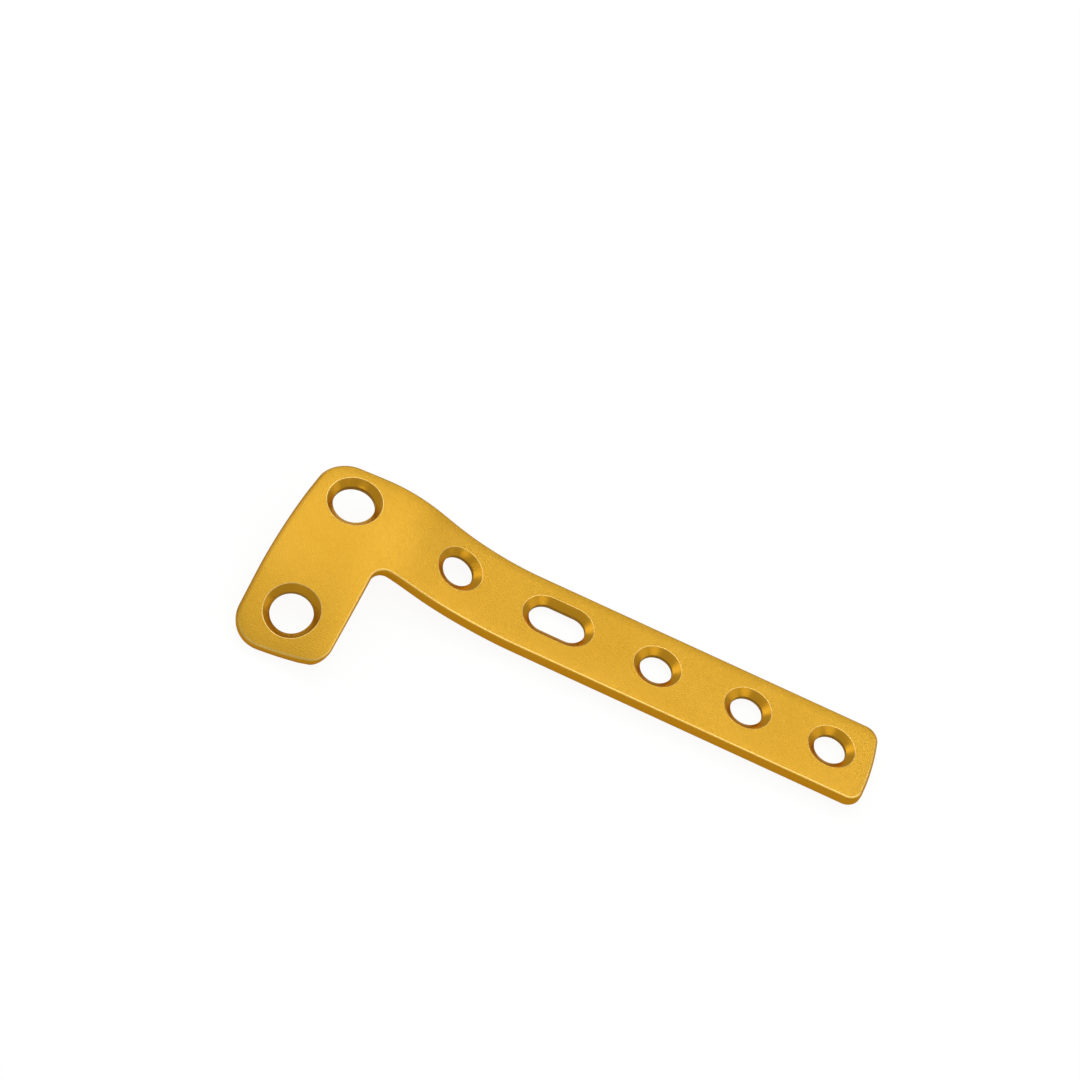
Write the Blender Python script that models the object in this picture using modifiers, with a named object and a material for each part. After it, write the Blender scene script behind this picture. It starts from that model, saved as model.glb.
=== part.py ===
"""L-shaped bone plate for the end of a shin bone.

A flat titanium blank is cut out, its edges are rounded and its screw holes are countersunk. The blank is
then formed: the neck rises in an S-bend, and the head curves across its width to wrap the bone. Last, the
plate is laid down as it comes to rest. Everything up to the forming is in the flat blank's own frame:
+X runs along the shaft away from the head, +Y is the side away from the foot, x = 0 is at the middle of
the oblong hole, y = 0 on the shaft's centre line, and z = 0 half way through the thickness.
"""
import math

import bmesh
import bpy
import numpy as np
from mathutils import Matrix, Vector

# Stock and shaft
THICKNESS = 0.0020
EDGE_ROUND = 0.0005
SHAFT_WIDTH = 0.0160
END_MARGIN = 0.0076
END_BOW = 0.0008
END_BOW_RADIUS = 0.040
END_CORNER = 0.0026

# Head, measured on the flat blank
HEAD_WIDTH = 0.0368
HEAD_LENGTH = 0.0169
HEAD_CORNER = 0.0055
HEAD_LEAN = 0.0022
HEAD_TAPER = 0.0005
HEAD_TAPER_LENGTH = 0.0112
HEAD_TAPER_RADIUS = 0.080
HEAD_SIDE_RADIUS = 0.120
FOOT_SLANT = 0.0016
FOOT_SPREAD = 0.0004
FOOT_OUTER_CORNER = 0.0051
FOOT_INNER_CORNER = 0.0031
NECK_CORNER = 0.0024
NECK_TO_SLOT = 0.0301

# Small screw holes and the oblong hole, along the shaft
HOLE_PITCH = 0.0160
LAST_PITCH = 0.0148
SLOT_PITCH = 0.0176
NECK_PITCH = 0.0182
HOLE_LINE_SHIFT = 0.0006
SLOT_TRAVEL = 0.0042
SHAFT_BORE = 0.0055
SHAFT_SEAT = 0.0081
SHAFT_LAND = 0.0006
SHAFT_UNDERSIDE_BREAK = 0.0006

# Large screw holes in the head
HEAD_BORE = 0.0069
HEAD_SEAT = 0.0091
HEAD_LAND = 0.0008
HEAD_UNDERSIDE_BREAK = 0.0002
HEAD_HOLE_EDGE = 0.0086
FAR_HOLE_EDGE = 0.0068
FOOT_HOLE_EDGE = 0.0081
FOOT_HOLE_SHIFT = 0.0008

# Rim of every hole
RIM_ROUND = 0.0003

# Forming
BEND_START = -0.0053
LOWER_BEND_RADIUS = 0.0449
UPPER_BEND_RADIUS = 0.0242
BEND_ANGLE = math.radians(22.0)
BEND_STRAIGHT = 0.0028
HEAD_CURVE_RADIUS = 0.0978
HEAD_CROWN = 0.0137
HEAD_CURVE_START = -0.0084
HEAD_CURVE_DEPTH = 0.0099
STEEPEST_REST = math.radians(30.0)

# Fineness of the facets
CORNER_STEPS = 8
HOLE_STEPS = 40
ROUND_STEPS = 3
REST_HALVINGS = 40
FORM_LINES_ALONG = 0.0020
FORM_LINES_ACROSS = 0.0030
FORM_LINE_SNAP = 0.00005
CUT_CLEARANCE = 0.0010
WELD = 0.000001
EDGE_ANGLE = math.radians(60.0)
SMOOTH_ANGLE = math.radians(35.0)

# Finish
GOLD = (0.72, 0.42, 0.075, 1.0)
ROUGHNESS = 0.38


def clear_scene():
    for thing in list(bpy.data.objects):
        bpy.data.objects.remove(thing, do_unlink=True)


def gold_titanium():
    material = bpy.data.materials.new("gold_anodised_titanium")
    material.use_nodes = True
    shader = material.node_tree.nodes["Principled BSDF"]
    shader.inputs["Base Color"].default_value = GOLD
    shader.inputs["Metallic"].default_value = 1.0
    shader.inputs["Roughness"].default_value = ROUGHNESS
    material.diffuse_color = GOLD
    return material


def new_object(name, data, collection):
    thing = bpy.data.objects.new(name, data)
    collection.objects.link(thing)
    return thing


def with_modifiers(thing):
    """The object's mesh with its modifiers applied, or a curve's mesh."""
    depsgraph = bpy.context.evaluated_depsgraph_get()
    return bpy.data.meshes.new_from_object(thing.evaluated_get(depsgraph))


def turn_between(arriving, leaving):
    """Signed angle from one wall's direction to the next, anticlockwise positive."""
    return math.atan2(arriving.cross(leaving), arriving.dot(leaving))


def rounded_outline(corners):
    """Points round a closed outline, from its corners as (x, y, radius), each corner an arc.

    A wall too short for the arcs at its two ends limits both of them.
    """
    count = len(corners)
    places = [Vector((x, y)) for x, y, _ in corners]
    walls = [places[(index + 1) % count] - places[index] for index in range(count)]
    turns = [turn_between(walls[index - 1], walls[index]) for index in range(count)]
    setbacks = [radius * abs(math.tan(turn / 2)) for (_, _, radius), turn in zip(corners, turns)]
    room = [walls[index].length / (setbacks[index] + setbacks[(index + 1) % count]) for index in range(count)]
    points = []
    for index in range(count):
        share = min(1.0, room[index - 1], room[index])
        radius = corners[index][2] * share
        arriving = walls[index - 1].normalized()
        side = Vector((-arriving.y, arriving.x)) * math.copysign(1.0, turns[index])
        start = places[index] - arriving * setbacks[index] * share
        centre = start + side * radius
        for step in range(CORNER_STEPS + 1):
            spoke = start - centre
            spoke.rotate(Matrix.Rotation(turns[index] * step / CORNER_STEPS, 2))
            points.append(centre + spoke)
    return points


def blank_corners():
    """Corners of the flat blank, anticlockwise from the far end of the shaft."""
    far = SHAFT_WIDTH / 2
    near = -SHAFT_WIDTH / 2
    tip = SLOT_PITCH + HOLE_PITCH + LAST_PITCH + END_MARGIN
    inner = -NECK_TO_SLOT
    outer = inner - HEAD_LENGTH
    foot = far - HEAD_WIDTH
    return [
        (tip - END_BOW, far, END_CORNER),
        (outer + HEAD_TAPER_LENGTH, far, HEAD_TAPER_RADIUS),
        (outer + HEAD_LEAN, far - HEAD_TAPER, HEAD_CORNER),
        (outer, near, HEAD_SIDE_RADIUS),
        (outer, foot, FOOT_OUTER_CORNER),
        (inner + FOOT_SPREAD, foot + FOOT_SLANT, FOOT_INNER_CORNER),
        (inner, near, NECK_CORNER),
        (tip - END_BOW, near, END_CORNER),
        (tip, 0.0, END_BOW_RADIUS),
    ]


def flat_blank(collection):
    """The blank as a flat plate, an outline extruded to the thickness of the sheet."""
    outline = rounded_outline(blank_corners())
    curve = bpy.data.curves.new("blank_outline", "CURVE")
    curve.dimensions = "2D"
    curve.fill_mode = "BOTH"
    curve.extrude = THICKNESS / 2
    spline = curve.splines.new("POLY")
    spline.points.add(len(outline) - 1)
    for point, place in zip(spline.points, outline):
        point.co = (place.x, place.y, 0.0, 1.0)
    spline.use_cyclic_u = True
    drawn = new_object("blank_outline", curve, collection)
    mesh = with_modifiers(drawn)
    bpy.data.objects.remove(drawn, do_unlink=True)

    work = bmesh.new()
    work.from_mesh(mesh)
    bmesh.ops.remove_doubles(work, verts=work.verts, dist=WELD)
    for level in (1, -1):
        flat = [face for face in work.faces if face.normal.z * level > math.cos(EDGE_ANGLE)]
        bmesh.ops.dissolve_faces(work, faces=flat, use_verts=False)
    bmesh.ops.recalc_face_normals(work, faces=work.faces)
    work.to_mesh(mesh)
    work.free()
    return new_object("bone_plate", mesh, collection)


def round_edges(plate):
    bevel = plate.modifiers.new("rounded_edges", "BEVEL")
    bevel.width = EDGE_ROUND
    bevel.segments = ROUND_STEPS
    bevel.limit_method = "ANGLE"
    bevel.angle_limit = EDGE_ANGLE
    plate.data = with_modifiers(plate)
    plate.modifiers.clear()


def score(work, place, normal, reach):
    """Split the faces that lie wholly below x = `reach` where a plane crosses them."""
    verts = [vert for vert in work.verts if vert.co.x < reach]
    edges = [edge for edge in work.edges if all(vert.co.x < reach for vert in edge.verts)]
    faces = [face for face in work.faces if all(vert.co.x < reach for vert in face.verts)]
    parts = verts + edges + faces
    bmesh.ops.bisect_plane(work, geom=parts, dist=FORM_LINE_SNAP, plane_co=place, plane_no=normal)


def add_form_lines(plate):
    """Lines over the faces where the plate will bend, so that the facets can follow the form."""
    work = bmesh.new()
    work.from_mesh(plate.data)
    head_end = min(vert.co.x for vert in work.verts)
    foot_edge = min(vert.co.y for vert in work.verts)
    far_edge = SHAFT_WIDTH / 2
    for step in range(math.ceil((BEND_START - head_end) / FORM_LINES_ALONG)):
        place = Vector((BEND_START - step * FORM_LINES_ALONG, 0, 0))
        score(work, place, Vector((1, 0, 0)), math.inf)
    for step in range(1, math.ceil((far_edge - foot_edge) / FORM_LINES_ACROSS)):
        place = Vector((0, far_edge - step * FORM_LINES_ACROSS, 0))
        score(work, place, Vector((0, 1, 0)), BEND_START + FORM_LINE_SNAP)
    work.to_mesh(plate.data)
    work.free()


def hole_profile(seat, bore, land, underside_break):
    """Half section of a screw hole as (radius, z), from above the top face to below the underside.

    The seat is a countersink, for the head of the screw. Its rim is rounded into the top face, a short
    cylindrical land lies below it, and the edge at the underside is broken at 45 degrees.
    """
    top = THICKNESS / 2
    rim = seat / 2
    wall = bore / 2
    land_top = underside_break + land - top
    slope = math.atan2(top - land_top, rim - wall)
    tangent = RIM_ROUND * math.tan(slope / 2)

    profile = [(0.0, top + CUT_CLEARANCE), (rim + tangent, top + CUT_CLEARANCE)]
    for step in range(ROUND_STEPS + 1):
        turn = slope * step / ROUND_STEPS
        profile.append((rim + tangent - RIM_ROUND * math.sin(turn), top - RIM_ROUND * (1 - math.cos(turn))))
    profile.append((wall, land_top))
    profile.append((wall, underside_break - top))
    profile.append((wall + underside_break, -top))
    profile.append((wall + underside_break, -top - CUT_CLEARANCE))
    profile.append((0.0, -top - CUT_CLEARANCE))
    return profile


def hole_cutter(name, section, place, travel, collection):
    """A turned countersink, drawn out along X by `travel` where the hole is oblong."""
    profile = hole_profile(*section)
    mesh = bpy.data.meshes.new(name)
    edges = [(index, index + 1) for index in range(len(profile) - 1)]
    mesh.from_pydata([(radius, 0.0, height) for radius, height in profile], edges, [])
    cutter = new_object(name, mesh, collection)
    screw = cutter.modifiers.new("turned", "SCREW")
    screw.steps = HOLE_STEPS
    screw.render_steps = HOLE_STEPS
    screw.use_merge_vertices = True
    screw.merge_threshold = WELD
    cutter.data = with_modifiers(cutter)
    cutter.modifiers.clear()

    work = bmesh.new()
    work.from_mesh(cutter.data)
    bmesh.ops.remove_doubles(work, verts=work.verts, dist=WELD)
    if travel > 0:
        draw_out(work, travel)
    bmesh.ops.recalc_face_normals(work, faces=work.faces)
    work.to_mesh(cutter.data)
    work.free()
    cutter.location = place
    cutter.display_type = "WIRE"
    cutter.hide_render = True
    return cutter


def draw_out(work, travel):
    """Keep the half at +X, move it out, draw its open edge back to the middle and mirror it."""
    half = [vert for vert in work.verts if vert.co.x < -WELD]
    bmesh.ops.delete(work, geom=half, context="VERTS")
    rim = [edge for edge in work.edges if edge.is_boundary]
    drawn = bmesh.ops.extrude_edge_only(work, edges=rim)
    middle = {part for part in drawn["geom"] if isinstance(part, bmesh.types.BMVert)}
    for vert in work.verts:
        vert.co.x = 0.0 if vert in middle else vert.co.x + travel / 2
    parts = list(work.verts) + list(work.edges) + list(work.faces)
    bmesh.ops.mirror(work, geom=parts, axis="X", merge_dist=WELD)


def hole_places():
    """Name, section, centre and travel of every hole, in the flat blank."""
    left_edge = -NECK_TO_SLOT - HEAD_LENGTH
    far_edge = SHAFT_WIDTH / 2
    foot_edge = far_edge - HEAD_WIDTH
    first = SLOT_PITCH
    second = first + HOLE_PITCH
    third = second + LAST_PITCH
    line = HOLE_LINE_SHIFT
    head_hole_x = left_edge + HEAD_HOLE_EDGE
    large = (HEAD_SEAT, HEAD_BORE, HEAD_LAND, HEAD_UNDERSIDE_BREAK)
    small = (SHAFT_SEAT, SHAFT_BORE, SHAFT_LAND, SHAFT_UNDERSIDE_BREAK)
    return [
        ("far_head_hole", large, (head_hole_x, far_edge - FAR_HOLE_EDGE, 0), 0),
        ("foot_head_hole", large, (head_hole_x - FOOT_HOLE_SHIFT, foot_edge + FOOT_HOLE_EDGE, 0), 0),
        ("neck_hole", small, (-NECK_PITCH, line, 0), 0),
        ("oblong_hole", small, (0, line, 0), SLOT_TRAVEL),
        ("first_shaft_hole", small, (first, line, 0), 0),
        ("second_shaft_hole", small, (second, line, 0), 0),
        ("end_shaft_hole", small, (third, line, 0), 0),
    ]


def drill_holes(plate):
    cutters = bpy.data.collections.new("hole_cutters")
    bpy.context.scene.collection.children.link(cutters)
    for name, section, place, travel in hole_places():
        cut = plate.modifiers.new(name, "BOOLEAN")
        cut.operation = "DIFFERENCE"
        cut.solver = "EXACT"
        cut.object = hole_cutter(name, section, place, travel, cutters)
    bpy.context.view_layer.update()
    plate.data = with_modifiers(plate)
    plate.modifiers.clear()
    for cutter in list(cutters.objects):
        bpy.data.objects.remove(cutter, do_unlink=True)
    bpy.data.collections.remove(cutters)


def neck_line(metal):
    """Distance along, rise and slope of the formed mid line after `metal` of its length.

    The line leaves the shaft level, climbs round the lower bend, runs straight and levels out again
    round the upper bend.
    """
    lower_length = LOWER_BEND_RADIUS * BEND_ANGLE
    upper_length = UPPER_BEND_RADIUS * BEND_ANGLE
    lower = np.clip(metal, 0, lower_length) / LOWER_BEND_RADIUS
    straight = np.clip(metal - lower_length, 0, BEND_STRAIGHT)
    upper = np.clip(metal - lower_length - BEND_STRAIGHT, 0, upper_length) / UPPER_BEND_RADIUS
    level = np.minimum(metal, 0) + np.maximum(metal - lower_length - BEND_STRAIGHT - upper_length, 0)
    slope = lower - upper
    along = LOWER_BEND_RADIUS * np.sin(lower) + straight * math.cos(BEND_ANGLE)
    along = along + UPPER_BEND_RADIUS * (math.sin(BEND_ANGLE) - np.sin(BEND_ANGLE - upper)) + level
    rise = LOWER_BEND_RADIUS * (1 - np.cos(lower)) + straight * math.sin(BEND_ANGLE)
    rise = rise + UPPER_BEND_RADIUS * (np.cos(BEND_ANGLE - upper) - math.cos(BEND_ANGLE))
    return along, rise, slope


def formed(points):
    """Where points of the flat plate go when the neck is bent and the head is curved."""
    x, y, z = points.T
    full = -NECK_TO_SLOT - HEAD_CURVE_DEPTH
    onset = np.clip((HEAD_CURVE_START - x) / (HEAD_CURVE_START - full), 0, 1)
    curvature = onset ** 2 * (3 - 2 * onset) / HEAD_CURVE_RADIUS
    across = y - HEAD_CROWN
    tilt = across * curvature
    new_y = HEAD_CROWN + across * np.sinc(tilt / math.pi) + z * np.sin(tilt)
    drop = across * tilt / 2 * np.sinc(tilt / 2 / math.pi) ** 2
    height = z * np.cos(tilt) - drop
    along, rise, slope = neck_line(BEND_START - x)
    new_x = BEND_START - along + height * np.sin(slope)
    return np.column_stack([new_x, new_y, rise + height * np.cos(slope)])


def rolled(points, angle):
    """Points turned about X, so that the foot rises and the far edge falls."""
    x, y, z = points.T
    return np.column_stack([x, y * math.cos(angle) + z * math.sin(angle),
                            z * math.cos(angle) - y * math.sin(angle)])


def laid_down(points):
    """Points of the plate as it rests, with its foot and the shaft's far edge on the table."""
    foot = points[:, 1] < 0
    flattest = 0.0
    steepest = STEEPEST_REST
    for _ in range(REST_HALVINGS):
        angle = (flattest + steepest) / 2
        height = rolled(points, angle)[:, 2]
        if height[foot].min() < height[~foot].min():
            flattest = angle
        else:
            steepest = angle
    resting = rolled(points, flattest)
    middle = (resting.min(axis=0) + resting.max(axis=0)) / 2
    return resting - [middle[0], middle[1], resting[:, 2].min()]


def form(plate):
    work = bmesh.new()
    work.from_mesh(plate.data)
    bmesh.ops.remove_doubles(work, verts=work.verts, dist=WELD)
    bmesh.ops.triangulate(work, faces=work.faces)
    places = np.array([vert.co for vert in work.verts])
    for vert, place in zip(work.verts, laid_down(formed(places))):
        vert.co = place
    work.to_mesh(plate.data)
    work.free()


def finish(plate):
    plate.data.materials.append(gold_titanium())
    plate.data.shade_smooth()
    plate.data.set_sharp_from_angle(angle=SMOOTH_ANGLE)


def build():
    clear_scene()
    collection = bpy.data.collections.new("bone_plate")
    bpy.context.scene.collection.children.link(collection)
    plate = flat_blank(collection)
    round_edges(plate)
    add_form_lines(plate)
    drill_holes(plate)
    form(plate)
    finish(plate)


build()
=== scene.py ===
import math

import bmesh
import bpy
import numpy as np
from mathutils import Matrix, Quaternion, Vector


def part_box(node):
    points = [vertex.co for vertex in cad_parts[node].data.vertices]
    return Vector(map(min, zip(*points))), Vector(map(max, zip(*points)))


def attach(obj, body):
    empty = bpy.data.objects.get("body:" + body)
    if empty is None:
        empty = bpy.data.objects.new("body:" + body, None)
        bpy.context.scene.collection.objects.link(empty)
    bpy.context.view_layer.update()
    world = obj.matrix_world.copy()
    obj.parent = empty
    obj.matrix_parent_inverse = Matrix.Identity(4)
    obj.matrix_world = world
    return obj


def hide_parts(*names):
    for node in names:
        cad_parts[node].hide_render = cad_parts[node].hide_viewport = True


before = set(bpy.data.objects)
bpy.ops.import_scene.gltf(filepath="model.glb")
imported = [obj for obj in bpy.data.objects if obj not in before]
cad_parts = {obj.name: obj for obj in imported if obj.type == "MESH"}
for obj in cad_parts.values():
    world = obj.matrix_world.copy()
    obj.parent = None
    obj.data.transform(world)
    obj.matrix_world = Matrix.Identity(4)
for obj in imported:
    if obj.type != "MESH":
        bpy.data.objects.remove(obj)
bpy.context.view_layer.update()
scene = bpy.context.scene


# Bone plate
# One piece of titanium sheet, 2 mm thick and cut to an L. Its edges are rounded, its screw holes are
# countersunk with a form cutter, the neck is bent and the head is curved. Blasted and anodised gold.
THICKNESS = 0.0020
EDGE_ROUND = 0.0005
SHAFT_HALF = 0.0080
SHAFT_TIP = 0.0560
END_BOW = 0.0008
END_BOW_RADIUS = 0.040
END_CORNER = 0.0026
HEAD_INNER = -0.0301
HEAD_OUTER = -0.0470
HEAD_CORNER = 0.0055
HEAD_LEAN = 0.0022
HEAD_TAPER = 0.0005
HEAD_TAPER_LENGTH = 0.0112
HEAD_TAPER_RADIUS = 0.080
HEAD_SIDE_RADIUS = 0.120
NECK_CORNER = 0.0024
FOOT_EDGE = -0.0288
FOOT_SLANT = 0.0016
FOOT_SPREAD = 0.0004
FOOT_OUTER_CORNER = 0.0051
FOOT_INNER_CORNER = 0.0031

# Corners of the flat blank, anticlockwise from the far end of the shaft: x, y and radius. The middle of
# the oblong hole is at x = 0, the shaft's centre line at y = 0 and the middle of the sheet at z = 0.
CORNERS = [
    (SHAFT_TIP - END_BOW, SHAFT_HALF, END_CORNER),
    (HEAD_OUTER + HEAD_TAPER_LENGTH, SHAFT_HALF, HEAD_TAPER_RADIUS),
    (HEAD_OUTER + HEAD_LEAN, SHAFT_HALF - HEAD_TAPER, HEAD_CORNER),
    (HEAD_OUTER, -SHAFT_HALF, HEAD_SIDE_RADIUS),
    (HEAD_OUTER, FOOT_EDGE, FOOT_OUTER_CORNER),
    (HEAD_INNER + FOOT_SPREAD, FOOT_EDGE + FOOT_SLANT, FOOT_INNER_CORNER),
    (HEAD_INNER, -SHAFT_HALF, NECK_CORNER),
    (SHAFT_TIP - END_BOW, -SHAFT_HALF, END_CORNER),
    (SHAFT_TIP, 0.0, END_BOW_RADIUS),
]
CORNER_STEPS = 20
WALL_SHARE = 0.998
BLANK_WELD = 0.00001

# The edges are rounded, and finishing wears the top face down a little towards them.
ROUND_STEPS = 12
EDGE_ANGLE = math.radians(60)
FALL_WIDTH = 0.0022
FALL_DROP = 0.00015
FALL_RINGS = 6
FLAT_NORMAL = 0.9999


def corner_setbacks():
    """How far each corner's arc starts from its corner. Arcs that meet share the wall between them."""
    places = [Vector((x, y)) for x, y, _ in CORNERS]
    count = len(places)
    walls = [places[(k + 1) % count] - places[k] for k in range(count)]
    turns = [walls[k - 1].angle(walls[k]) for k in range(count)]
    reach = [CORNERS[k][2] * math.tan(turns[k] / 2) for k in range(count)]
    room = [walls[k].length / (reach[k] + reach[(k + 1) % count]) for k in range(count)]
    return [reach[k] * min(1.0, WALL_SHARE * room[k - 1], WALL_SHARE * room[k]) for k in range(count)]


def edit_mesh(thing):
    """The mesh being edited, with nothing selected."""
    bpy.ops.mesh.select_all(action="DESELECT")
    return bmesh.from_edit_mesh(thing.data)


def select_faces(thing, wanted):
    """Selects only the faces that are wanted, in the mesh being edited."""
    work = edit_mesh(thing)
    for face in work.faces:
        face.select_set(wanted(face))
    bmesh.update_edit_mesh(thing.data)


def select_only(thing):
    """Selects one object and makes it the active one."""
    bpy.ops.object.select_all(action="DESELECT")
    thing.select_set(True)
    bpy.context.view_layer.objects.active = thing


bpy.ops.object.select_all(action="DESELECT")
bpy.ops.mesh.primitive_circle_add(vertices=len(CORNERS), radius=SHAFT_HALF, fill_type="NGON")
plate = bpy.context.object
plate.name = "formed_bone_plate"
for vertex, (x, y, _) in zip(plate.data.vertices, CORNERS):
    vertex.co = (x, y, -THICKNESS / 2)

bpy.ops.object.mode_set(mode="EDIT")
bpy.ops.mesh.select_mode(type="VERT")
for (x, y, _), setback in zip(CORNERS, corner_setbacks()):
    work = edit_mesh(plate)
    corner = min(work.verts, key=lambda vertex: (vertex.co.xy - Vector((x, y))).length)
    corner.select_set(True)
    bmesh.update_edit_mesh(plate.data)
    bpy.ops.mesh.bevel(offset=setback, segments=CORNER_STEPS, affect="VERTICES", clamp_overlap=False)
bpy.ops.mesh.select_all(action="SELECT")
bpy.ops.mesh.remove_doubles(threshold=BLANK_WELD)
blank_face = next(iter(bmesh.from_edit_mesh(plate.data).faces))
outline = np.array([vertex.co.xy for vertex in blank_face.verts])
bpy.ops.mesh.extrude_region_move(TRANSFORM_OT_translate={"value": (0, 0, THICKNESS)})
bpy.ops.mesh.select_all(action="SELECT")
bpy.ops.mesh.normals_make_consistent(inside=False)
bpy.ops.mesh.select_all(action="DESELECT")
bpy.ops.mesh.select_mode(type="EDGE")
bpy.ops.mesh.edges_select_sharp(sharpness=EDGE_ANGLE)
bpy.ops.mesh.bevel(offset=EDGE_ROUND, segments=ROUND_STEPS, affect="EDGES", clamp_overlap=False)
bpy.ops.mesh.select_mode(type="FACE")
select_faces(plate, lambda face: face.normal.z > FLAT_NORMAL)
for _ in range(FALL_RINGS):
    bpy.ops.mesh.inset(thickness=(FALL_WIDTH - EDGE_ROUND) / FALL_RINGS, use_even_offset=True)
bpy.ops.object.mode_set(mode="OBJECT")

# Holes. A form cutter has a seat and a bore, given as diameters, and a land and an underside break,
# given as heights.
SMALL_HOLE = (0.0081, 0.0055, 0.0006, 0.0006)
LARGE_HOLE = (0.0091, 0.0069, 0.0008, 0.0002)
RIM_ROUND = 0.00022
LAND_ROUND = 0.00006
RIM_STEPS = 6
LAND_STEPS = 3
HOLE_SIDES = 144
CUTTER_OVERRUN = 0.001

# Two holes in the head, measured from its edges, and five along the shaft, measured from each other.
HEAD_HOLE_EDGE = 0.0086
FAR_HOLE_EDGE = 0.0068
FOOT_HOLE_EDGE = 0.0081
FOOT_HOLE_SHIFT = 0.0008
NECK_PITCH = 0.0182
SLOT_PITCH = 0.0176
HOLE_PITCH = 0.0160
LAST_PITCH = 0.0148
HOLE_LINE = 0.0006
SLOT_TRAVEL = 0.0042

# Each hole's cutter, x, y and travel along the shaft.
HOLES = [
    (LARGE_HOLE, HEAD_OUTER + HEAD_HOLE_EDGE, SHAFT_HALF - FAR_HOLE_EDGE, 0.0),
    (LARGE_HOLE, HEAD_OUTER + HEAD_HOLE_EDGE - FOOT_HOLE_SHIFT, FOOT_EDGE + FOOT_HOLE_EDGE, 0.0),
    (SMALL_HOLE, -NECK_PITCH, HOLE_LINE, 0.0),
    (SMALL_HOLE, 0.0, HOLE_LINE, SLOT_TRAVEL),
    (SMALL_HOLE, SLOT_PITCH, HOLE_LINE, 0.0),
    (SMALL_HOLE, SLOT_PITCH + HOLE_PITCH, HOLE_LINE, 0.0),
    (SMALL_HOLE, SLOT_PITCH + HOLE_PITCH + LAST_PITCH, HOLE_LINE, 0.0),
]


def cutter_section(seat, bore, land, underside_break):
    """Radius and height down the form cutter: rounded rim, straight seat, land and underside break."""
    top = THICKNESS / 2
    rim = seat / 2
    wall = bore / 2
    land_top = underside_break + land - top
    slope = math.atan2(top - land_top, rim - wall)
    tangent = RIM_ROUND * math.tan(slope / 2)
    section = [(rim + tangent, top + CUTTER_OVERRUN)]
    for k in range(RIM_STEPS + 1):
        turn = slope * k / RIM_STEPS
        section.append((rim + tangent - RIM_ROUND * math.sin(turn), top - RIM_ROUND * (1 - math.cos(turn))))
    upright = math.pi / 2
    back = LAND_ROUND * math.tan((upright - slope) / 2)
    for k in range(LAND_STEPS + 1):
        turn = slope + (upright - slope) * k / LAND_STEPS
        reach = wall + LAND_ROUND * (1 - math.sin(turn))
        section.append((reach, land_top - back + LAND_ROUND * math.cos(turn)))
    section.append((wall, underside_break - top))
    section.append((wall + underside_break, -top))
    section.append((wall + underside_break, -top - CUTTER_OVERRUN))
    return section


def form_cutter(section, x, y, travel):
    """A disc drawn down and resized at each step, opened along the shaft for the oblong hole."""
    radius, height = section[0]
    bpy.ops.object.select_all(action="DESELECT")
    bpy.ops.mesh.primitive_circle_add(vertices=HOLE_SIDES, radius=radius, fill_type="NGON")
    cutter = bpy.context.object
    bpy.ops.object.mode_set(mode="EDIT")
    bpy.ops.mesh.select_all(action="SELECT")
    half_side = math.pi / HOLE_SIDES
    bpy.ops.transform.rotate(value=half_side, orient_axis="Z", center_override=(0, 0, 0))
    bpy.ops.transform.translate(value=(0, 0, height))
    for next_radius, next_height in section[1:]:
        drop = {"value": (0, 0, next_height - height)}
        bpy.ops.mesh.extrude_region_move(TRANSFORM_OT_translate=drop)
        ratio = next_radius / radius
        bpy.ops.transform.resize(value=(ratio, ratio, 1), center_override=(0, 0, next_height))
        radius, height = next_radius, next_height
    if travel:
        work = edit_mesh(cutter)
        for vertex in work.verts:
            vertex.select_set(vertex.co.x > 0)
        bpy.ops.transform.translate(value=(travel, 0, 0))
        bpy.ops.mesh.select_all(action="SELECT")
        bpy.ops.transform.translate(value=(-travel / 2, 0, 0))
    bpy.ops.mesh.select_all(action="SELECT")
    bpy.ops.transform.translate(value=(x, y, 0))
    bpy.ops.mesh.normals_make_consistent(inside=False)
    bpy.ops.object.mode_set(mode="OBJECT")
    return cutter


for form, x, y, travel in HOLES:
    cutter = form_cutter(cutter_section(*form), x, y, travel)
    cut = plate.modifiers.new("countersink", "BOOLEAN")
    cut.operation = "DIFFERENCE"
    cut.solver = "EXACT"
    cut.object = cutter
    select_only(plate)
    bpy.ops.object.modifier_apply(modifier=cut.name)
    bpy.data.objects.remove(cutter, do_unlink=True)

# Bends: the neck rises along the shaft, the head curves across it, and the plate is laid down.
BEND_START = -0.0053
LOWER_BEND_RADIUS = 0.0449
UPPER_BEND_RADIUS = 0.0242
BEND_ANGLE = math.radians(22.0)
BEND_STRAIGHT = 0.0028
HEAD_CURVE_RADIUS = 0.0978
HEAD_CROWN = 0.0137
HEAD_CURVE_START = -0.0084
HEAD_CURVE_FULL = -0.0400
RESTING_ROLL = math.radians(4.2846)

# A narrow strip along every rim keeps the flat faces flat in shade, and lines across the neck and the
# head let the metal bend.
RIM_STRIP = 0.00008
LINES_ALONG = 0.0006
LINES_ACROSS = 0.0010
LINE_SNAP = 0.00002
WELD = 0.000002
TOUCH = 0.000001

bpy.ops.object.mode_set(mode="EDIT")
bpy.ops.mesh.select_mode(type="FACE")


def on_flat(face):
    """Whether a face lies in the flat top or underside."""
    height = abs(face.calc_center_median().z)
    return abs(face.normal.z) > FLAT_NORMAL and abs(height - THICKNESS / 2) < TOUCH


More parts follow.
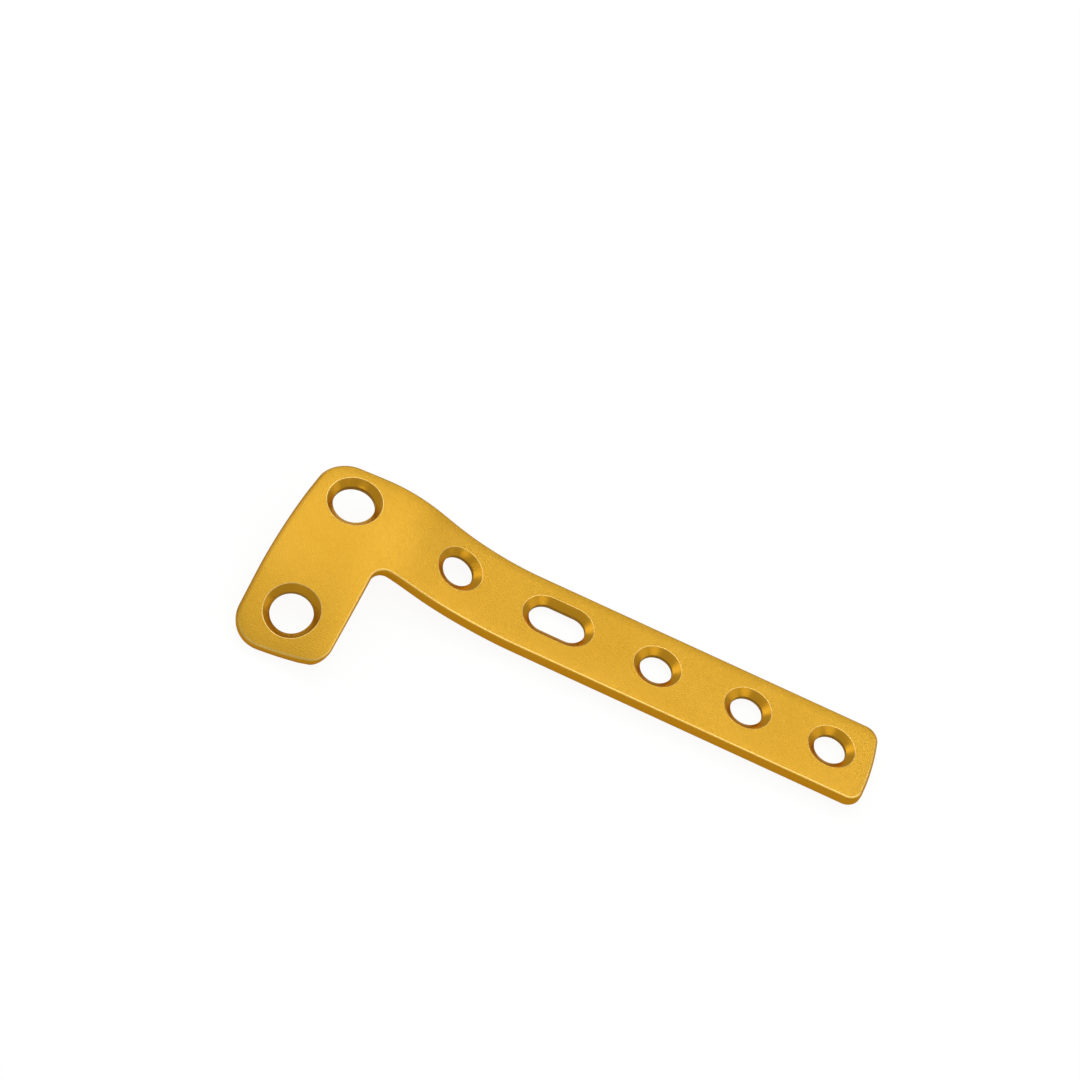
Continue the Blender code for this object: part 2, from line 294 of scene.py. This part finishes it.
select_faces(plate, on_flat)
bpy.ops.mesh.inset(thickness=RIM_STRIP, use_boundary=True, use_even_offset=True)
for k in range(int((BEND_START - HEAD_OUTER) / LINES_ALONG) + 1):
    place = (BEND_START - k * LINES_ALONG, 0, 0)
    bpy.ops.mesh.select_all(action="SELECT")
    bpy.ops.mesh.bisect(plane_co=place, plane_no=(1, 0, 0), threshold=LINE_SNAP)
select_faces(plate, lambda face: face.calc_center_median().x > BEND_START)
bpy.ops.mesh.hide(unselected=False)
for k in range(1, int((SHAFT_HALF - FOOT_EDGE) / LINES_ACROSS) + 1):
    place = (0, SHAFT_HALF - k * LINES_ACROSS, 0)
    bpy.ops.mesh.select_all(action="SELECT")
    bpy.ops.mesh.bisect(plane_co=place, plane_no=(0, 1, 0), threshold=LINE_SNAP)
bpy.ops.mesh.reveal(select=True)
bpy.ops.mesh.select_all(action="SELECT")
bpy.ops.mesh.remove_doubles(threshold=WELD)
bpy.ops.mesh.quads_convert_to_tris(quad_method="BEAUTY", ngon_method="BEAUTY")
bpy.ops.mesh.normals_make_consistent(inside=False)
bpy.ops.object.mode_set(mode="OBJECT")


def neck_line(metal):
    """Distance along, rise and slope of the bent mid line after so much of its length."""
    lower_length = LOWER_BEND_RADIUS * BEND_ANGLE
    upper_length = UPPER_BEND_RADIUS * BEND_ANGLE
    lower = np.clip(metal, 0, lower_length) / LOWER_BEND_RADIUS
    straight = np.clip(metal - lower_length, 0, BEND_STRAIGHT)
    upper = np.clip(metal - lower_length - BEND_STRAIGHT, 0, upper_length) / UPPER_BEND_RADIUS
    level = np.minimum(metal, 0) + np.maximum(metal - lower_length - BEND_STRAIGHT - upper_length, 0)
    along = LOWER_BEND_RADIUS * np.sin(lower) + straight * math.cos(BEND_ANGLE)
    along = along + UPPER_BEND_RADIUS * (math.sin(BEND_ANGLE) - np.sin(BEND_ANGLE - upper)) + level
    rise = LOWER_BEND_RADIUS * (1 - np.cos(lower)) + straight * math.sin(BEND_ANGLE)
    rise = rise + UPPER_BEND_RADIUS * (np.cos(BEND_ANGLE - upper) - math.cos(BEND_ANGLE))
    return along, rise, lower - upper


def formed(points):
    """Where points of the flat plate go when the neck is bent, the head curved and the plate laid down."""
    x, y, z = points.T
    onset = np.clip((HEAD_CURVE_START - x) / (HEAD_CURVE_START - HEAD_CURVE_FULL), 0, 1)
    across = y - HEAD_CROWN
    tilt = across * onset ** 2 * (3 - 2 * onset) / HEAD_CURVE_RADIUS
    bent_y = HEAD_CROWN + across * np.sinc(tilt / math.pi) + z * np.sin(tilt)
    height = z * np.cos(tilt) - across * tilt / 2 * np.sinc(tilt / 2 / math.pi) ** 2
    along, rise, slope = neck_line(BEND_START - x)
    bent_x = BEND_START - along + height * np.sin(slope)
    bent_z = rise + height * np.cos(slope)
    laid_y = bent_y * math.cos(RESTING_ROLL) + bent_z * math.sin(RESTING_ROLL)
    laid_z = bent_z * math.cos(RESTING_ROLL) - bent_y * math.sin(RESTING_ROLL)
    return np.column_stack([bent_x, laid_y, laid_z])


# Wear and painted light: edges that face the foot's tip stay crisp and get a painted highlight, as do the
# rims of the holes; edges facing away, most at the head's end, get painted shade, and so do the sides and the
# bores. Depths are from the top face of the flat blank.
NEAR_WAY = (0.50, -0.87)
NEAR_FULL = 0.9
FALL_SPARED = 0.65
# How strong the painted highlight is on edges that face away from the foot's tip and on those that face it.
FAR_CREST = 0.2
NEAR_CREST = 0.8
CREST_REACH = (EDGE_ROUND + 0.00001, EDGE_ROUND + 0.00005)
CREST_DEPTH = 0.000018
SIDE_START = 0.00006
SIDE_FULL = 0.00014
# Where painted shade lies on edges that face away from the foot's tip, and how strong it is.
EDGE_SHADE_REACH = 0.0003
EDGE_SHADE_DEPTHS = (0.0004, 0.0006)
EDGE_SHADE_FACINGS = (0.10, 0.35, 0.65, 0.85)
EDGE_SHADE_AMOUNTS = (0.0, 1.0, 1.0, 0.2)
RIM_FADE = 0.6
SEAT_START = 0.97


def outline_distance(points):
    """How far each point lies inside the outline, and how much its nearest edge faces the foot's tip."""
    following = np.roll(outline, -1, axis=0)
    area = np.sum(outline[:, 0] * following[:, 1] - outline[:, 1] * following[:, 0])
    nearest = np.full(len(points), 1.0)
    facing = np.zeros(len(points))
    for start, end in zip(outline, following):
        side = end - start
        along = np.clip((points[:, :2] - start) @ side / (side @ side), 0, 1)
        gap = points[:, :2] - start - along[:, None] * side
        reach = np.hypot(gap[:, 0], gap[:, 1])
        outward = math.copysign(1, area) * np.array((side[1], -side[0])) / math.hypot(*side)
        facing = np.where(reach < nearest, outward @ NEAR_WAY, facing)
        nearest = np.minimum(nearest, reach)
    return nearest, facing


def ramp_up(values, low, high):
    """Rises from 0 at the low value to 1 at the high one."""
    return np.clip((values - low) / (high - low), 0, 1)


def finish_marks(points, inside, facing):
    """Each point's mark, from 0 to 1, for every kind of finish, painted highlight and painted shade that the
    material knows.
    """
    drop = THICKNESS / 2 - points[:, 2]
    # Painted highlight along the rounded top edges, strongest where they face the foot's tip.
    crest = FAR_CREST + (NEAR_CREST - FAR_CREST) * ramp_up(facing, 0, NEAR_FULL)
    bright = crest * (1 - ramp_up(inside, *CREST_REACH)) * (1 - ramp_up(drop, CREST_DEPTH, SIDE_START))
    lower_edge = ramp_up(drop, THICKNESS - SIDE_FULL, THICKNESS - SIDE_START)
    # Painted shade on the plate's sides, fading out at the lower edge.
    side_shade = ramp_up(drop, SIDE_START, SIDE_FULL) * (1 - lower_edge)
    # Painted shade on edges that face away from the foot's tip, most at the head's end.
    edge_shade = np.interp(-facing, EDGE_SHADE_FACINGS, EDGE_SHADE_AMOUNTS) * (1 - ramp_up(drop, *EDGE_SHADE_DEPTHS))
    edge_shade = edge_shade * (1 - ramp_up(inside, EDGE_ROUND, EDGE_ROUND + EDGE_SHADE_REACH))
    seat_mark = np.zeros(len(points))
    bore_shade_mark = np.zeros(len(points))
    for (seat, bore, land, underside_break), x, y, travel in HOLES:
        beside = np.clip(points[:, 0] - x, -travel / 2, travel / 2)
        radius = np.hypot(points[:, 0] - x - beside, points[:, 1] - y)
        land_depth = THICKNESS - underside_break - land
        slope = math.atan2(land_depth, (seat - bore) / 2)
        rim_depth = RIM_ROUND * (1 - math.cos(slope))
        rim_reach = seat / 2 + RIM_ROUND * math.tan(slope / 2)
        here = radius < rim_reach - TOUCH
        # Painted highlight round the rims of the holes.
        bright = np.where(here, 1 - ramp_up(drop, rim_depth * RIM_FADE, rim_depth), bright)
        side_shade = np.where(here, 0.0, side_shade)
        inner = here & (drop > rim_depth * SEAT_START) & (drop < THICKNESS - TOUCH)
        seat_mark = np.where(inner, 1.0, seat_mark)
        # Painted shade down the land and the bore of each hole.
        on_land = ramp_up(drop, land_depth - LAND_ROUND / 4, land_depth + LAND_ROUND / 3)
        bore_shade_mark = np.where(inner, on_land, bore_shade_mark)
    return {"seat": seat_mark, "bore": bore_shade_mark, "painted_highlight_edge": bright, "painted_shade_side": side_shade, "painted_shade_edge": edge_shade}


flat = np.array([vertex.co for vertex in plate.data.vertices])
inside, facing = outline_distance(flat)
for name, values in finish_marks(flat, inside, facing).items():
    marks = plate.data.attributes.new(name, "FLOAT", "POINT")
    marks.data.foreach_set("value", values.astype(np.float32))

# The worn blank is formed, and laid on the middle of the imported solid's box and on its base.
SMOOTH_ANGLE = math.radians(38)
worn = (1 - FALL_SPARED * ramp_up(facing, 0, NEAR_FULL)) * np.clip(1 - inside / FALL_WIDTH, 0, 1) ** 2
flat[:, 2] -= FALL_DROP * worn * np.clip(flat[:, 2] / (THICKNESS / 2), 0, 1)
laid = formed(flat)
middle = (laid.min(axis=0) + laid.max(axis=0)) / 2
box_low, box_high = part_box("bone_plate")
laid += [(box_low.x + box_high.x) / 2 - middle[0], (box_low.y + box_high.y) / 2 - middle[1],
         box_low.z - laid[:, 2].min()]
plate.data.vertices.foreach_set("co", laid.astype(np.float32).ravel())
plate.data.update()
select_only(plate)
bpy.ops.object.shade_smooth_by_angle(angle=SMOOTH_ANGLE)

GLANCING_GOLD = (1.0, 0.78, 0.36, 1.0)
COAT_ROUGHNESS = 0.25
COAT_IOR = 1.5
gold = bpy.data.materials.new("gold_anodised_titanium")
gold.use_nodes = True
nodes = gold.node_tree.nodes
links = gold.node_tree.links
shader = nodes["Principled BSDF"]
shader.inputs["Metallic"].default_value = 1.0
shader.inputs["Specular Tint"].default_value = GLANCING_GOLD
shader.inputs["Coat Roughness"].default_value = COAT_ROUGHNESS
shader.inputs["Coat IOR"].default_value = COAT_IOR


def node(kind, **settings):
    """A new node of the gold, with its settings."""
    made = nodes.new(kind)
    for name, value in settings.items():
        setattr(made, name, value)
    return made


def noise(scale, detail, roughness=0.5):
    """Noise on the piece's own coordinates, with its scale in cycles for each metre."""
    made = node("ShaderNodeTexNoise")
    made.inputs["Scale"].default_value = scale
    made.inputs["Detail"].default_value = detail
    made.inputs["Roughness"].default_value = roughness
    links.new(coordinates.outputs["Object"], made.inputs["Vector"])
    return made.outputs["Fac"]


def spread(value, from_low, from_high, low, high):
    """A value spread from one range to another, held at its ends."""
    made = node("ShaderNodeMapRange", clamp=True)
    for name, number in (("From Min", from_low), ("From Max", from_high), ("To Min", low), ("To Max", high)):
        made.inputs[name].default_value = number
    links.new(value, made.inputs["Value"])
    return made.outputs["Result"]


def blended(amount, first, second):
    """A colour between two, by an amount from 0 to 1."""
    made = node("ShaderNodeMix", data_type="RGBA")
    links.new(amount, made.inputs["Factor"])
    for name, colour in (("A", first), ("B", second)):
        socket = [s for s in made.inputs if s.name == name and s.type == "RGBA"][0]
        if isinstance(colour, tuple):
            socket.default_value = colour
        else:
            links.new(colour, socket)
    return [s for s in made.outputs if s.type == "RGBA"][0]


def maths(operation, first, second):
    """The result of an operation on two values, each a number or a node's output."""
    made = node("ShaderNodeMath", operation=operation)
    for index, value in enumerate((first, second)):
        if isinstance(value, float):
            made.inputs[index].default_value = value
        else:
            links.new(value, made.inputs[index])
    return made.outputs[0]


def mark(name):
    """A mark of the finish, as finish_marks left it on the plate."""
    return node("ShaderNodeAttribute", attribute_name=name).outputs["Fac"]


coordinates = node("ShaderNodeTexCoord")
seat_mark = mark("seat")
bore_shade_mark = mark("bore")
painted_highlight_edge = mark("painted_highlight_edge")
painted_shade_side = mark("painted_shade_side")
painted_shade_edge = mark("painted_shade_edge")

# The oxide's colour drifts a little from place to place. A painted highlight makes it pale on the near edges
# and the rims of the holes, and painted shade makes it deeper on the sides, on edges facing away, in the
# seats, where the cutter left the metal smooth, and in the bores.
FACE_GOLD = (0.765, 0.428, 0.040, 1.0)
WARM_GOLD = (0.735, 0.404, 0.034, 1.0)
HIGHLIGHT_GOLD = (1.000, 0.780, 0.330, 1.0)
SHADED_SIDE_GOLD = (0.690, 0.312, 0.011, 1.0)
SHADED_SEAT_GOLD = (0.665, 0.320, 0.008, 1.0)
SHADED_BORE_GOLD = (0.340, 0.165, 0.010, 1.0)
SHADED_EDGE_GOLD = (0.400, 0.180, 0.006, 1.0)
DRIFT_SCALE = 90.0
HIGHLIGHT_STRENGTH = 0.45
EDGE_SHADE_STRENGTH = 0.5
drift = spread(noise(DRIFT_SCALE, 3.0), 0.35, 0.65, 0.0, 1.0)
colour = blended(drift, FACE_GOLD, WARM_GOLD)
# Painted highlight on the near edges and the rims.
colour = blended(maths("MULTIPLY", painted_highlight_edge, HIGHLIGHT_STRENGTH), colour, HIGHLIGHT_GOLD)
# Painted shade on the sides.
colour = blended(painted_shade_side, colour, SHADED_SIDE_GOLD)
# Painted shade on edges facing away from the foot's tip.
colour = blended(maths("MULTIPLY", painted_shade_edge, EDGE_SHADE_STRENGTH), colour, SHADED_EDGE_GOLD)
# Painted shade in the countersink seats.
colour = blended(seat_mark, colour, SHADED_SEAT_GOLD)
# Painted shade in the lands and bores.
links.new(blended(bore_shade_mark, colour, SHADED_BORE_GOLD), shader.inputs["Base Color"])

# Blasting leaves a fine even grain, and turning leaves the seats smoother.
GRAIN_SCALE = 4500.0
GRAIN_HEIGHT = 0.00006
FACE_GRAIN = 0.95
SEAT_GRAIN = 0.20
ROUGH_SCALE = 1500.0
SMOOTHEST = 0.40
ROUGHEST = 0.45
SEAT_SMOOTHING = 0.17
EDGE_SMOOTHING = 0.24
SIDE_SMOOTHING = 0.06
grain = noise(GRAIN_SCALE, 3.0, 0.6)
rough = spread(noise(ROUGH_SCALE, 2.0), 0.3, 0.7, SMOOTHEST, ROUGHEST)
smoothings = ((seat_mark, SEAT_SMOOTHING), (painted_highlight_edge, EDGE_SMOOTHING), (painted_shade_side, SIDE_SMOOTHING))
for smoother_place, amount in smoothings:
    rough = maths("SUBTRACT", rough, maths("MULTIPLY", smoother_place, amount))
links.new(rough, shader.inputs["Roughness"])
bump = node("ShaderNodeBump")
bump.inputs["Distance"].default_value = GRAIN_HEIGHT
grain_lost = maths("MULTIPLY", seat_mark, FACE_GRAIN - SEAT_GRAIN)
links.new(maths("SUBTRACT", FACE_GRAIN, grain_lost), bump.inputs["Strength"])
links.new(grain, bump.inputs["Height"])
links.new(bump.outputs["Normal"], shader.inputs["Normal"])

# The clear oxide shines most on the edges and rims that carry the painted highlight, and a little on the
# seats.
FACE_COAT = 0.06
EDGE_COAT = 0.70
SEAT_COAT = 0.20
coat = maths("ADD", maths("MULTIPLY", painted_highlight_edge, EDGE_COAT), maths("MULTIPLY", seat_mark, SEAT_COAT))
links.new(maths("ADD", FACE_COAT, coat), shader.inputs["Coat Weight"])

plate.data.materials.clear()
plate.data.materials.append(gold)
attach(plate, "root")
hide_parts("bone_plate")


# Floor
# A pale table that the plate lies on, so wide that its edge is out of sight. It shows as the white
# of the room and keeps the plate's shadow.
TABLE_SIZE = 6.0
TABLE_GREY = (0.62, 0.62, 0.62, 1.0)
TABLE_ROUGHNESS = 0.8
TABLE_GLOSS = 0.2
TABLE_WHITE = 1.09
WHITE_SEEN = 0.85
WHITE_MIRRORED = 0.30
bpy.ops.object.select_all(action="DESELECT")
bpy.ops.mesh.primitive_plane_add(size=TABLE_SIZE, location=(0, 0, 0))
floor = bpy.context.object
floor.name = "floor"
floor_finish = bpy.data.materials.new("white_table")
floor_finish.use_nodes = True
floor_tree = floor_finish.node_tree
painted = floor_tree.nodes["Principled BSDF"]
painted.inputs["Base Color"].default_value = TABLE_GREY
painted.inputs["Roughness"].default_value = TABLE_ROUGHNESS
painted.inputs["Specular IOR Level"].default_value = TABLE_GLOSS
white = floor_tree.nodes.new("ShaderNodeEmission")
white.inputs["Strength"].default_value = TABLE_WHITE
floor_path = floor_tree.nodes.new("ShaderNodeLightPath")
seen = floor_tree.nodes.new("ShaderNodeMath")
seen.operation = "MULTIPLY"
seen.inputs[1].default_value = WHITE_SEEN
mirrored = floor_tree.nodes.new("ShaderNodeMath")
mirrored.operation = "MULTIPLY_ADD"
mirrored.inputs[1].default_value = WHITE_MIRRORED
either = floor_tree.nodes.new("ShaderNodeMath")
either.operation = "MAXIMUM"
mix = floor_tree.nodes.new("ShaderNodeMixShader")
floor_tree.links.new(floor_path.outputs["Is Camera Ray"], seen.inputs[0])
floor_tree.links.new(floor_path.outputs["Is Glossy Ray"], either.inputs[0])
floor_tree.links.new(floor_path.outputs["Is Transmission Ray"], either.inputs[1])
floor_tree.links.new(either.outputs[0], mirrored.inputs[0])
floor_tree.links.new(seen.outputs[0], mirrored.inputs[2])
floor_tree.links.new(mirrored.outputs[0], mix.inputs["Fac"])
floor_tree.links.new(painted.outputs["BSDF"], mix.inputs[1])
floor_tree.links.new(white.outputs["Emission"], mix.inputs[2])
floor_tree.links.new(mix.outputs["Shader"], floor_tree.nodes["Material Output"].inputs["Surface"])
floor.data.materials.append(floor_finish)


# Room, lights and camera
# A white room with soft boxes round the plate: three behind it, two at its left, two at its right and
# a weak one low in front. The camera looks down from the foot's side.
ROOM_SEEN = 1.0
ROOM_FILL = 0.52
room = bpy.data.worlds.new("white_room")
scene.world = room
room.use_nodes = True
room_tree = room.node_tree
room_tree.nodes.clear()
backdrop = room_tree.nodes.new("ShaderNodeBackground")
backdrop.inputs["Color"].default_value = (1, 1, 1, 1)
backdrop.inputs["Strength"].default_value = ROOM_SEEN
soft_fill = room_tree.nodes.new("ShaderNodeBackground")
soft_fill.inputs["Color"].default_value = (1, 1, 1, 1)
soft_fill.inputs["Strength"].default_value = ROOM_FILL
room_path = room_tree.nodes.new("ShaderNodeLightPath")
either_room = room_tree.nodes.new("ShaderNodeMixShader")
room_tree.links.new(room_path.outputs["Is Camera Ray"], either_room.inputs["Fac"])
room_tree.links.new(soft_fill.outputs[0], either_room.inputs[1])
room_tree.links.new(backdrop.outputs[0], either_room.inputs[2])
world_output = room_tree.nodes.new("ShaderNodeOutputWorld")
room_tree.links.new(either_room.outputs[0], world_output.inputs["Surface"])

LIGHT_DISTANCE = 0.70

# Each soft box's azimuth and elevation in degrees, its width and height, and how bright its face is.
SOFT_BOXES = {
    "high_light": (90, 82, 0.40, 0.30, 0.82),
    "back_light": (94, 56, 0.60, 0.20, 1.38),
    "back_right_light": (58, 50, 0.24, 0.28, 1.05),
    "left_light": (156, 36, 0.28, 0.38, 0.92),
    "left_high_light": (150, 62, 0.26, 0.26, 0.60),
    "right_light": (-22, 58, 0.30, 0.30, 0.68),
    "right_low_light": (20, 32, 0.36, 0.44, 0.40),
    "front_low_light": (-98, 33, 0.32, 0.18, 0.70),
}
for name, (azimuth, elevation, width, height, radiance) in SOFT_BOXES.items():
    lamp = bpy.data.lights.new(name, "AREA")
    lamp.shape = "RECTANGLE"
    lamp.size = width
    lamp.size_y = height
    lamp.energy = radiance * math.pi * width * height
    around = math.radians(azimuth)
    above = math.radians(elevation)
    way = Vector((math.cos(around) * math.cos(above), math.sin(around) * math.cos(above), math.sin(above)))
    soft_box = bpy.data.objects.new(name, lamp)
    scene.collection.objects.link(soft_box)
    soft_box.location = way * LIGHT_DISTANCE
    soft_box.rotation_mode = "QUATERNION"
    soft_box.rotation_quaternion = (-way).to_track_quat("-Z", "Y")

CAMERA_PLACE = Vector((-0.007018, -0.206650, 0.294714))
CAMERA_AIM = Vector((-0.013086, 0.024039, 0.002))
CAMERA_ROLL = math.radians(23.458)
CAMERA_LENS = 75.156
camera = bpy.data.objects.new("camera", bpy.data.cameras.new("camera"))
scene.collection.objects.link(camera)
camera.data.sensor_width = 36.0
camera.data.lens = CAMERA_LENS
camera.data.clip_start = 0.01
camera.data.clip_end = 20.0
camera.location = CAMERA_PLACE
camera.rotation_mode = "QUATERNION"
level_view = (CAMERA_AIM - CAMERA_PLACE).to_track_quat("-Z", "Y")
camera.rotation_quaternion = level_view @ Quaternion((0, 0, 1), CAMERA_ROLL)
scene.camera = camera
scene.view_settings.view_transform = "Standard"
